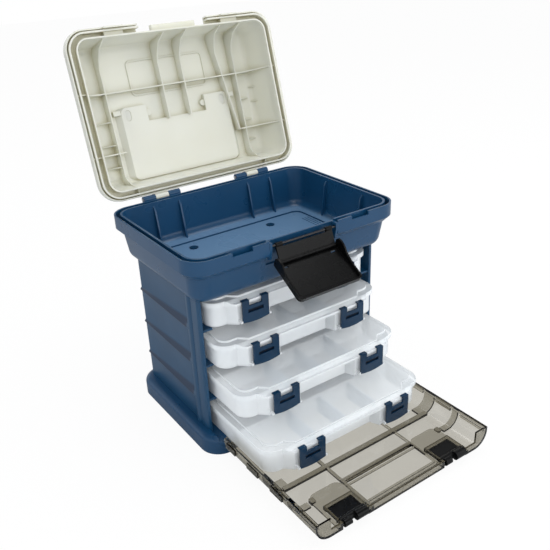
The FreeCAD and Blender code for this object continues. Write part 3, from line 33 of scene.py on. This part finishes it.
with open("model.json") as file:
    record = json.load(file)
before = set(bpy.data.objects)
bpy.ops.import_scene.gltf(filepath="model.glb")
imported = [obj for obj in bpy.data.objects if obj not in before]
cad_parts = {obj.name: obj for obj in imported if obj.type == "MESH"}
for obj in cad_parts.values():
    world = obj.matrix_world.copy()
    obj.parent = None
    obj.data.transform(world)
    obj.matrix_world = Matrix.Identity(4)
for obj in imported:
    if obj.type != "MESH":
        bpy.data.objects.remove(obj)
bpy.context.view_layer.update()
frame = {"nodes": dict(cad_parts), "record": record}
bodyOf = {node: body for body, nodes in frame["record"]["behaviour"]["bodies"].items() for node in nodes}
slotOf = {part["node"]: part["material_slot"] for part in frame["record"]["subparts"]}
print("frame loaded:", len(frame["nodes"]), "nodes")


# selecting and placing

def clearSelection():
    if bpy.context.object and bpy.context.object.mode != "OBJECT":
        bpy.ops.object.mode_set(mode="OBJECT")
    bpy.ops.object.select_all(action="DESELECT")


def makeActive(piece):
    clearSelection()
    piece.select_set(True)
    bpy.context.view_layer.objects.active = piece


def applyPlace(piece):
    makeActive(piece)
    bpy.ops.object.transform_apply(location=True, rotation=True, scale=True)


def smoothByAngle(piece, degrees):
    makeActive(piece)
    bpy.ops.object.shade_smooth_by_angle(angle=math.radians(degrees))


def coatWith(piece, material):
    piece.data.materials.clear()
    piece.data.materials.append(material)


# node helpers, each gives back the socket to link on from

def newMaterial(name):
    material = bpy.data.materials.new(name)
    material.use_nodes = True
    nodes = material.node_tree.nodes
    nodes.clear()
    return material, nodes, material.node_tree.links


def addNoise(nodes, links, coords, scale, detail):
    noise = nodes.new("ShaderNodeTexNoise")
    noise.inputs["Scale"].default_value = scale
    noise.inputs["Detail"].default_value = detail
    noise.inputs["Roughness"].default_value = 0.55
    links.new(coords.outputs["Object"], noise.inputs["Vector"])
    return noise.outputs["Fac"]


def addRamp(nodes, links, source, span, colours):
    ramp = nodes.new("ShaderNodeValToRGB")
    for element, position, colour in zip(ramp.color_ramp.elements, span, colours):
        element.position = position
        element.color = (*colour, 1.0)
    links.new(source, ramp.inputs["Fac"])
    return ramp.outputs["Color"]


def addRange(nodes, links, source, span, ends=(0.0, 1.0)):
    scaled = nodes.new("ShaderNodeMapRange")
    scaled.inputs["From Min"].default_value, scaled.inputs["From Max"].default_value = span
    scaled.inputs["To Min"].default_value, scaled.inputs["To Max"].default_value = ends
    links.new(source, scaled.inputs["Value"])
    return scaled.outputs["Result"]


def addMath(nodes, links, operation, *sources, clamp=False):
    step = nodes.new("ShaderNodeMath")
    step.operation = operation
    step.use_clamp = clamp
    for socket, source in zip(step.inputs, sources):
        if isinstance(source, float):
            socket.default_value = source
        else:
            links.new(source, socket)
    return step.outputs[0]


def addTint(nodes, links, factor, under, over):  # under shows at 0, over at 1
    blend = nodes.new("ShaderNodeMix")
    blend.data_type = "RGBA"
    links.new(factor, blend.inputs["Factor"])
    for socket, colour in ((blend.inputs[6], under), (blend.inputs[7], over)):  # its two colour sockets
        if isinstance(colour, tuple):
            socket.default_value = (*colour, 1.0)
        else:
            links.new(colour, socket)
    return blend.outputs[2]


def addAxes(nodes, links, source):
    split = nodes.new("ShaderNodeSeparateXYZ")
    links.new(source, split.inputs["Vector"])
    return split.outputs


def addBump(nodes, links, height, strength, distance):
    bump = nodes.new("ShaderNodeBump")
    bump.inputs["Strength"].default_value = strength
    bump.inputs["Distance"].default_value = distance
    links.new(height, bump.inputs["Height"])
    return bump.outputs["Normal"]


def addLayers(nodes, links, share, under, over):  # two shaders, over shows where the share is 1
    layers = nodes.new("ShaderNodeMixShader")
    for socket, source in zip(layers.inputs, (share, under, over)):
        links.new(source, socket)
    return layers.outputs["Shader"]


def addSeen(nodes, links, lightPath):  # 1 where the camera looks, straight or through the door
    return addMath(nodes, links, "MAXIMUM", lightPath.outputs["Is Camera Ray"],
                   lightPath.outputs["Is Transmission Ray"])


def addOutput(nodes, links, surface):
    output = nodes.new("ShaderNodeOutputMaterial")
    links.new(surface, output.inputs["Surface"])
    return output


# moulded plastic: bodies, lid, latches and clips

moulding = {"cloudDetail": 3.0, "cloudSpan": (0.35, 0.65), "wearScale": 3.0, "wearDetail": 1.0,
            "wearSpan": (0.3, 0.7), "roundSamples": 4, "paintedCreaseShadeSamples": 8, "glowReach": (1.0, 0.95, 0.8)}

plastics = {
    "bodyBlue": {"dark": (0.0054, 0.050, 0.124), "light": (0.0068, 0.058, 0.142), "cloud": 9.0,
                 "roughness": (0.27, 0.30), "specular": 0.5, "edgeRound": 0.0007},
    "binBlue": {"dark": (0.0054, 0.050, 0.124), "light": (0.0068, 0.058, 0.142), "cloud": 9.0,
                "roughness": (0.27, 0.30), "specular": 0.5, "edgeRound": 0.0007,
                # the bin's floor gets a painted sheen: a paler blue, low down and facing up
                "paintedBedSheen": {"colour": (0.105, 0.200, 0.335), "height": (0.2338, 0.2372), "flat": (0.72, 0.99)}},
    "wallBlue": {"dark": (0.0062, 0.052, 0.122), "light": (0.0078, 0.060, 0.138), "cloud": 9.0,
                 "roughness": (0.28, 0.32), "specular": 0.5, "edgeRound": 0.0007,
                 # painted shade on the side walls' ledges, proud of the wall and behind its post
                 "ledge": {"colour": (0.0016, 0.021, 0.062), "outside": (0.1467, 0.1476),
                           "behind": (-0.0545, -0.0535)}},
    "lidIvory": {"dark": (0.70, 0.70, 0.61), "light": (0.73, 0.735, 0.655), "cloud": 7.0,
                 "roughness": (0.22, 0.25), "specular": 0.5, "edgeRound": 0.0011,
                 "glowThrough": 0.35, "glowDepth": 0.012,
                 # painted shade in the lid's creases, darker and yellower where ribs meet the shell
                 "paintedCreaseShade": {"colour": (0.55, 0.53, 0.40), "reach": 0.012, "open": (0.26, 0.82)}},
    "latchBlack": {"dark": (0.0022, 0.0023, 0.0024), "light": (0.0036, 0.0037, 0.0038), "cloud": 14.0,
                   "roughness": (0.26, 0.30), "specular": 0.25, "edgeRound": 0.0006},
    "clipBlue": {"dark": (0.0034, 0.026, 0.064), "light": (0.0046, 0.034, 0.082), "cloud": 20.0,
                 "roughness": (0.18, 0.22), "specular": 0.36, "edgeRound": 0.0005},
    # painted shade: near-black blue for the floors of the clips' slots
    "slotShade": {"dark": (0.0010, 0.0055, 0.016), "light": (0.0014, 0.0070, 0.020), "cloud": 20.0,
                  "roughness": (0.30, 0.34), "specular": 0.15, "edgeRound": 0.0002},
}


def addPaintedBedSheen(nodes, links, coords, colour, values):  # painted sheen: paler floor of the bin, low down and facing up
    height = addAxes(nodes, links, coords.outputs["Object"])["Z"]
    facing = addAxes(nodes, links, coords.outputs["Normal"])["Z"]
    low = addRange(nodes, links, height, values["height"], (1.0, 0.0))
    flat = addRange(nodes, links, facing, values["flat"])
    share = addMath(nodes, links, "MULTIPLY", low, flat)
    return addTint(nodes, links, share, colour, values["colour"])


def addPaintedLedgeShade(nodes, links, coords, colour, values):  # painted shade: darker ledges, proud of the wall, behind its post
    place = addAxes(nodes, links, coords.outputs["Object"])
    sideways = addMath(nodes, links, "ABSOLUTE", place["X"])
    outside = addRange(nodes, links, sideways, values["outside"])
    behind = addRange(nodes, links, place["Y"], values["behind"])
    share = addMath(nodes, links, "MULTIPLY", outside, behind)
    return addTint(nodes, links, share, colour, values["colour"])


def addPaintedCreaseShade(nodes, links, colour, values):  # painted shade: darker and yellower where ribs meet the shell, from ambient occlusion
    corner = nodes.new("ShaderNodeAmbientOcclusion")
    corner.samples = moulding["paintedCreaseShadeSamples"]
    corner.inputs["Distance"].default_value = values["reach"]
    share = addRange(nodes, links, corner.outputs["AO"], values["open"])
    return addTint(nodes, links, share, values["colour"], colour)


def makeMoulded(name, values):
    material, nodes, links = newMaterial(name)
    coords = nodes.new("ShaderNodeTexCoord")
    cloud = addNoise(nodes, links, coords, values["cloud"], moulding["cloudDetail"])
    colour = addRamp(nodes, links, cloud, moulding["cloudSpan"], (values["dark"], values["light"]))
    # painted sheen on the bin's floor
    if "paintedBedSheen" in values:
        colour = addPaintedBedSheen(nodes, links, coords, colour, values["paintedBedSheen"])
    # painted shade in the lid's creases
    if "paintedCreaseShade" in values:
        colour = addPaintedCreaseShade(nodes, links, colour, values["paintedCreaseShade"])
    # painted shade on the wall ledges
    if "ledge" in values:
        colour = addPaintedLedgeShade(nodes, links, coords, colour, values["ledge"])
    wear = addNoise(nodes, links, coords, values["cloud"] * moulding["wearScale"], moulding["wearDetail"])
    gloss = addRange(nodes, links, wear, moulding["wearSpan"], values["roughness"])
    rounding = nodes.new("ShaderNodeBevel")
    rounding.samples = moulding["roundSamples"]
    rounding.inputs["Radius"].default_value = values["edgeRound"]
    shader = nodes.new("ShaderNodeBsdfPrincipled")
    shader.inputs["Specular IOR Level"].default_value = values["specular"]
    if "glowThrough" in values:
        shader.inputs["Subsurface Weight"].default_value = values["glowThrough"]
        shader.inputs["Subsurface Radius"].default_value = moulding["glowReach"]
        shader.inputs["Subsurface Scale"].default_value = values["glowDepth"]
    links.new(colour, shader.inputs["Base Color"])
    links.new(gloss, shader.inputs["Roughness"])
    links.new(rounding.outputs["Normal"], shader.inputs["Normal"])
    addOutput(nodes, links, shader.outputs["BSDF"])
    return material


# cloudy clear plastic: boxes and dividers

clearSheet = {"cloud": 16.0, "cloudDetail": 4.0, "cloudSpan": (0.3, 0.7), "level": (0.6, 0.95),
              "rim": 0.35, "ripple": 240.0, "rippleDetail": 2.0, "rippleStrength": 0.04, "rippleDepth": 0.0006}

clears = {
    "boxClear": {"dark": (0.88, 0.93, 0.97), "light": (0.93, 0.965, 0.99), "upright": 0.56, "flat": 0.27,
                 "rimGain": 0.36, "passing": 0.08, "roughness": 0.16},
    # painted shade: the dividers' clear plastic is tinted darker blue-grey than the boxes', as their shade
    # shows through the lids
    "dividerShadedClear": {"dark": (0.54, 0.66, 0.78), "light": (0.64, 0.75, 0.86), "upright": 0.72, "flat": 0.72,
                     "rimGain": 0.2, "passing": 0.25, "roughness": 0.2},
}


def makeClear(name, values):
    material, nodes, links = newMaterial(name)
    coords = nodes.new("ShaderNodeTexCoord")
    cloud = addNoise(nodes, links, coords, clearSheet["cloud"], clearSheet["cloudDetail"])
    colour = addRamp(nodes, links, cloud, clearSheet["cloudSpan"], (values["dark"], values["light"]))
    ripple = addNoise(nodes, links, coords, clearSheet["ripple"], clearSheet["rippleDetail"])
    waves = addBump(nodes, links, ripple, clearSheet["rippleStrength"], clearSheet["rippleDepth"])
    facing = addAxes(nodes, links, coords.outputs["Normal"])["Z"]
    level = addMath(nodes, links, "ABSOLUTE", facing)
    sheet = addRange(nodes, links, level, clearSheet["level"], (values["upright"], values["flat"]))
    milk = nodes.new("ShaderNodeLayerWeight")
    milk.inputs["Blend"].default_value = clearSheet["rim"]
    veil = addMath(nodes, links, "MULTIPLY_ADD", milk.outputs["Facing"], values["rimGain"], sheet, clamp=True)
    lightPath = nodes.new("ShaderNodeLightPath")  # light passes more freely than sight, as when frosted
    soft = addMath(nodes, links, "MAXIMUM", lightPath.outputs["Is Shadow Ray"],
                   lightPath.outputs["Is Diffuse Ray"])
    passed = addRange(nodes, links, soft, (0.0, 1.0), (1.0, values["passing"]))
    shader = nodes.new("ShaderNodeBsdfPrincipled")
    shader.inputs["Roughness"].default_value = values["roughness"]
    links.new(addMath(nodes, links, "MULTIPLY", veil, passed), shader.inputs["Alpha"])
    links.new(colour, shader.inputs["Base Color"])
    links.new(waves, shader.inputs["Normal"])
    addOutput(nodes, links, shader.outputs["BSDF"])
    return material


# tinted clear plastic of the door, darker with its thickness

smoke = {"dim": (0.9409, 0.93605, 0.9215), "pale": (0.97, 0.965, 0.95), "deep": (0.26, 0.224, 0.105),
         "density": 255.0, "roughness": 0.012, "bend": 1.46, "ripple": 55.0, "rippleDetail": 2.0,
         "rippleSpan": (0.3, 0.7), "rippleStrength": 0.03, "rippleDepth": 0.0010}


def makeSmoke(name, values):
    material, nodes, links = newMaterial(name)
    coords = nodes.new("ShaderNodeTexCoord")
    ripple = addNoise(nodes, links, coords, values["ripple"], values["rippleDetail"])
    colour = addRamp(nodes, links, ripple, values["rippleSpan"], (values["dim"], values["pale"]))
    waves = addBump(nodes, links, ripple, values["rippleStrength"], values["rippleDepth"])
    shader = nodes.new("ShaderNodeBsdfPrincipled")
    shader.inputs["Roughness"].default_value = values["roughness"]
    shader.inputs["Transmission Weight"].default_value = 1.0
    shader.inputs["IOR"].default_value = values["bend"]
    links.new(colour, shader.inputs["Base Color"])
    links.new(waves, shader.inputs["Normal"])
    inside = nodes.new("ShaderNodeVolumeAbsorption")
    inside.inputs["Color"].default_value = (*values["deep"], 1.0)
    inside.inputs["Density"].default_value = values["density"]
    output = addOutput(nodes, links, shader.outputs["BSDF"])
    links.new(inside.outputs["Volume"], output.inputs["Volume"])
    return material


# pins and screws

scratches = {"scale": 900.0, "detail": 4.0, "span": (0.3, 0.7)}

steels = {
    "pinSteel": {"dark": (0.45, 0.45, 0.46), "light": (0.62, 0.62, 0.62), "roughness": 0.35},
    "pinDark": {"dark": (0.07, 0.07, 0.075), "light": (0.12, 0.12, 0.125), "roughness": 0.2},
}


def makeSteel(name, values):
    material, nodes, links = newMaterial(name)
    coords = nodes.new("ShaderNodeTexCoord")
    scratch = addNoise(nodes, links, coords, scratches["scale"], scratches["detail"])
    colour = addRamp(nodes, links, scratch, scratches["span"], (values["dark"], values["light"]))
    shader = nodes.new("ShaderNodeBsdfPrincipled")
    shader.inputs["Metallic"].default_value = 1.0
    shader.inputs["Roughness"].default_value = values["roughness"]
    links.new(colour, shader.inputs["Base Color"])
    addOutput(nodes, links, shader.outputs["BSDF"])
    return material


finishes = {name: makeMoulded(name, values) for name, values in plastics.items()}
finishes.update({name: makeClear(name, values) for name, values in clears.items()})
finishes["doorSmoke"] = makeSmoke("doorSmoke", smoke)
finishes.update({name: makeSteel(name, values) for name, values in steels.items()})
print("finishes made:", len(finishes))


# copies of the CAD pieces, welded so that they shade smoothly

finishOfSlot = {"body_blue": "bodyBlue", "lid_grey": "lidIvory", "latch_black": "latchBlack",
                "clip_blue": "clipBlue", "box_clear": "boxClear", "door_smoke": "doorSmoke",
                "screw_steel": "pinSteel"}
finishOfNode = {"top_bin": "binBlue", "left_side_wall": "wallBlue", "right_side_wall": "wallBlue",
                "latch_pivot_pin": "pinDark", "latch_joint_pin": "pinDark", "door_latch_pins": "pinDark",
                "box_1_dividers": "dividerShadedClear", "box_2_dividers": "dividerShadedClear",
                "box_3_dividers": "dividerShadedClear", "box_4_dividers": "dividerShadedClear"}
skins = {"weldWithin": 0.000005, "smoothBelow": 32.0}


def dressNode(node, values):
    source = frame["nodes"][node]
    piece = bpy.data.objects.new(node + "_skin", source.data.copy())
    bpy.context.scene.collection.objects.link(piece)
    makeActive(piece)
    if piece.data.has_custom_normals:
        bpy.ops.mesh.customdata_custom_splitnormals_clear()
    bpy.ops.object.mode_set(mode="EDIT")
    bpy.ops.mesh.select_all(action="SELECT")
    bpy.ops.mesh.remove_doubles(threshold=values["weldWithin"])
    bpy.ops.object.mode_set(mode="OBJECT")
    smoothByAngle(piece, values["smoothBelow"])
    coatWith(piece, finishes[finishOfNode.get(node, finishOfSlot[slotOf[node]])])
    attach(piece, bodyOf[node])
    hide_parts(node)


for node in sorted(frame["nodes"]):
    dressNode(node, skins)
print("CAD pieces dressed")


# small blocks, modelled once at the origin and copied to their places

def modelBlock(values):
    clearSelection()
    bpy.ops.mesh.primitive_cube_add(size=1.0)
    piece = bpy.context.object
    piece.scale = values["size"]
    applyPlace(piece)
    bpy.ops.object.mode_set(mode="EDIT")
    bpy.ops.mesh.select_all(action="SELECT")
    bpy.ops.mesh.bevel(offset=values["edge"], segments=values["edgeSegments"], profile=values["edgeProfile"],
                       affect="EDGES")
    bpy.ops.object.mode_set(mode="OBJECT")
    return piece


def placeCopy(model, name, place):
    makeActive(model)
    bpy.ops.object.duplicate()
    piece = bpy.context.object
    piece.name = name
    piece.location = place
    applyPlace(piece)
    return piece


def discard(model):
    makeActive(model)
    bpy.ops.object.delete()


# floors of the clips' slots, in near-black blue: painted shade in the slots

slotShadeFloors = {"size": (0.0236, 0.0007, 0.0048), "behindFront": 0.0020, "belowTop": 0.0165,
              "edge": 0.0002, "edgeSegments": 2, "edgeProfile": 0.6, "smoothBelow": 40.0}


def makeSlotShadeFloors(values):
    model = modelBlock(values)
    smoothByAngle(model, values["smoothBelow"])
    coatWith(model, finishes["slotShade"])
    for node in sorted(frame["nodes"]):
        if "_clip_" not in node:
            continue
        low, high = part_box(node)
        place = ((low[0] + high[0]) / 2, low[1] + values["behindFront"], high[2] - values["belowTop"])
        piece = placeCopy(model, node + "_slot_shade_floor", place)
        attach(piece, bodyOf[node])
    discard(model)


makeSlotShadeFloors(slotShadeFloors)
print("slot floors made")


# fine ribs on the boxes' front flanges, between the clips

flangeRibs = {"first": -0.047, "last": 0.047, "count": 32, "size": (0.0008, 0.0036, 0.0007),
              "behindFront": 0.0021, "belowTop": 0.0064, "edge": 0.0002, "edgeSegments": 1, "edgeProfile": 0.5}


def makeFlangeRibs(values):
    model = modelBlock(values)
    coatWith(model, finishes["boxClear"])
    makeActive(model)
    bpy.ops.object.modifier_add(type="ARRAY")
    row = model.modifiers[-1]
    row.count = values["count"]
    row.use_relative_offset = False
    row.use_constant_offset = True
    row.constant_offset_displace = ((values["last"] - values["first"]) / (values["count"] - 1), 0.0, 0.0)
    bpy.ops.object.modifier_apply(modifier=row.name)
    for number in (1, 2, 3, 4):
        node = f"box_{number}_lid"
        low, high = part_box(node)
        place = (values["first"], low[1] + values["behindFront"], high[2] - values["belowTop"])
        piece = placeCopy(model, f"box_{number}_flange_ribs", place)
        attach(piece, bodyOf[node])
    discard(model)


makeFlangeRibs(flangeRibs)
print("flange ribs made")


# floor, sky, lamps and camera

stage = {"floorSize": 12.0, "floorColour": (0.90, 0.90, 0.90), "mirroredColour": (0.52, 0.53, 0.54),
         "glowColour": (1.0, 1.0, 1.0), "floorGlow": 0.93}


def makeFloor(values):
    clearSelection()
    bpy.ops.mesh.primitive_plane_add(size=values["floorSize"])
    floor = bpy.context.object
    floor.name = "studioFloor"
    material, nodes, links = newMaterial("studioFloor")
    lightPath = nodes.new("ShaderNodeLightPath")
    matte = nodes.new("ShaderNodeBsdfDiffuse")
    colour = addTint(nodes, links, lightPath.outputs["Is Glossy Ray"], values["floorColour"],
                     values["mirroredColour"])
    links.new(colour, matte.inputs["Color"])
    glow = nodes.new("ShaderNodeEmission")
    glow.inputs["Color"].default_value = (*values["glowColour"], 1.0)
    glow.inputs["Strength"].default_value = 1.0
    share = addMath(nodes, links, "MULTIPLY", addSeen(nodes, links, lightPath), values["floorGlow"])
    addOutput(nodes, links, addLayers(nodes, links, share, matte.outputs["BSDF"], glow.outputs["Emission"]))
    coatWith(floor, material)


makeFloor(stage)

skyLight = {"colour": (0.97, 0.985, 1.0), "strength": 0.80, "backdrop": (1.0, 1.0, 1.0),
            "horizon": (0.88, 0.89, 0.9), "overhead": (0.14, 0.145, 0.15), "tent": (0.25, 0.72)}


def makeSky(values):
    world = bpy.data.worlds.new("studioSky")
    bpy.context.scene.world = world
    world.use_nodes = True
    nodes, links = world.node_tree.nodes, world.node_tree.links
    nodes.clear()
    lightPath = nodes.new("ShaderNodeLightPath")
    soft = nodes.new("ShaderNodeBackground")
    soft.inputs["Color"].default_value = (*values["colour"], 1.0)
    soft.inputs["Strength"].default_value = values["strength"]
    coords = nodes.new("ShaderNodeTexCoord")
    upward = addAxes(nodes, links, coords.outputs["Generated"])["Z"]
    mirrored = nodes.new("ShaderNodeBackground")
    links.new(addRamp(nodes, links, upward, values["tent"], (values["horizon"], values["overhead"])),
              mirrored.inputs["Color"])
    white = nodes.new("ShaderNodeBackground")
    white.inputs["Color"].default_value = (*values["backdrop"], 1.0)
    unseen = addLayers(nodes, links, lightPath.outputs["Is Glossy Ray"], soft.outputs["Background"],
                       mirrored.outputs["Background"])
    sky = addLayers(nodes, links, addSeen(nodes, links, lightPath), unseen, white.outputs["Background"])
    output = nodes.new("ShaderNodeOutputWorld")
    links.new(sky, output.inputs["Surface"])


makeSky(skyLight)

lamps = {
    "keySoftbox": {"place": (-0.7, -1.6, 1.9), "aim": (0.0, -0.05, 0.2), "size": 1.3, "power": 8.0},
    "frontSoftbox": {"place": (0.5, -2.2, 0.9), "aim": (0.0, -0.1, 0.15), "size": 1.1, "power": 6.0},
    "topSoftbox": {"place": (0.4, 0.2, 2.4), "aim": (0.0, 0.0, 0.2), "size": 1.6, "power": 16.0},
    "rightSoftbox": {"place": (1.8, -0.9, 1.0), "aim": (0.0, 0.0, 0.2), "size": 1.2, "power": 8.0},
}


def makeLamp(name, values):
    light = bpy.data.lights.new(name, "AREA")
    light.shape = "SQUARE"
    light.size = values["size"]
    light.energy = values["power"]
    lamp = bpy.data.objects.new(name, light)
    bpy.context.scene.collection.objects.link(lamp)
    lamp.location = values["place"]
    beam = Vector(values["aim"]) - Vector(values["place"])
    lamp.rotation_euler = beam.to_track_quat("-Z", "Y").to_euler()


for name, values in lamps.items():
    makeLamp(name, values)

# the photograph's view: place in metres, turns in degrees, sensor and lens in millimetres
view = {"place": (-0.5061, -0.7886, 0.6416), "azimuth": -34.376, "elevation": 26.265, "roll": -2.375,
        "sensor": 36.0, "lens": 45.754, "shiftX": -0.0008, "shiftY": 0.0061}


def makeCamera(values):
    data = bpy.data.cameras.new("photoCamera")
    data.sensor_width = values["sensor"]
    data.lens = values["lens"]
    data.shift_x = values["shiftX"]
    data.shift_y = values["shiftY"]
    camera = bpy.data.objects.new("photoCamera", data)
    bpy.context.scene.collection.objects.link(camera)
    turn = (Matrix.Rotation(math.radians(values["azimuth"]), 4, "Z")
            @ Matrix.Rotation(math.radians(90 - values["elevation"]), 4, "X")
            @ Matrix.Rotation(math.radians(values["roll"]), 4, "Z"))
    camera.matrix_world = Matrix.Translation(Vector(values["place"])) @ turn
    bpy.context.scene.camera = camera


makeCamera(view)
bpy.context.scene.view_settings.view_transform = "Standard"
print("stage, light and camera set")
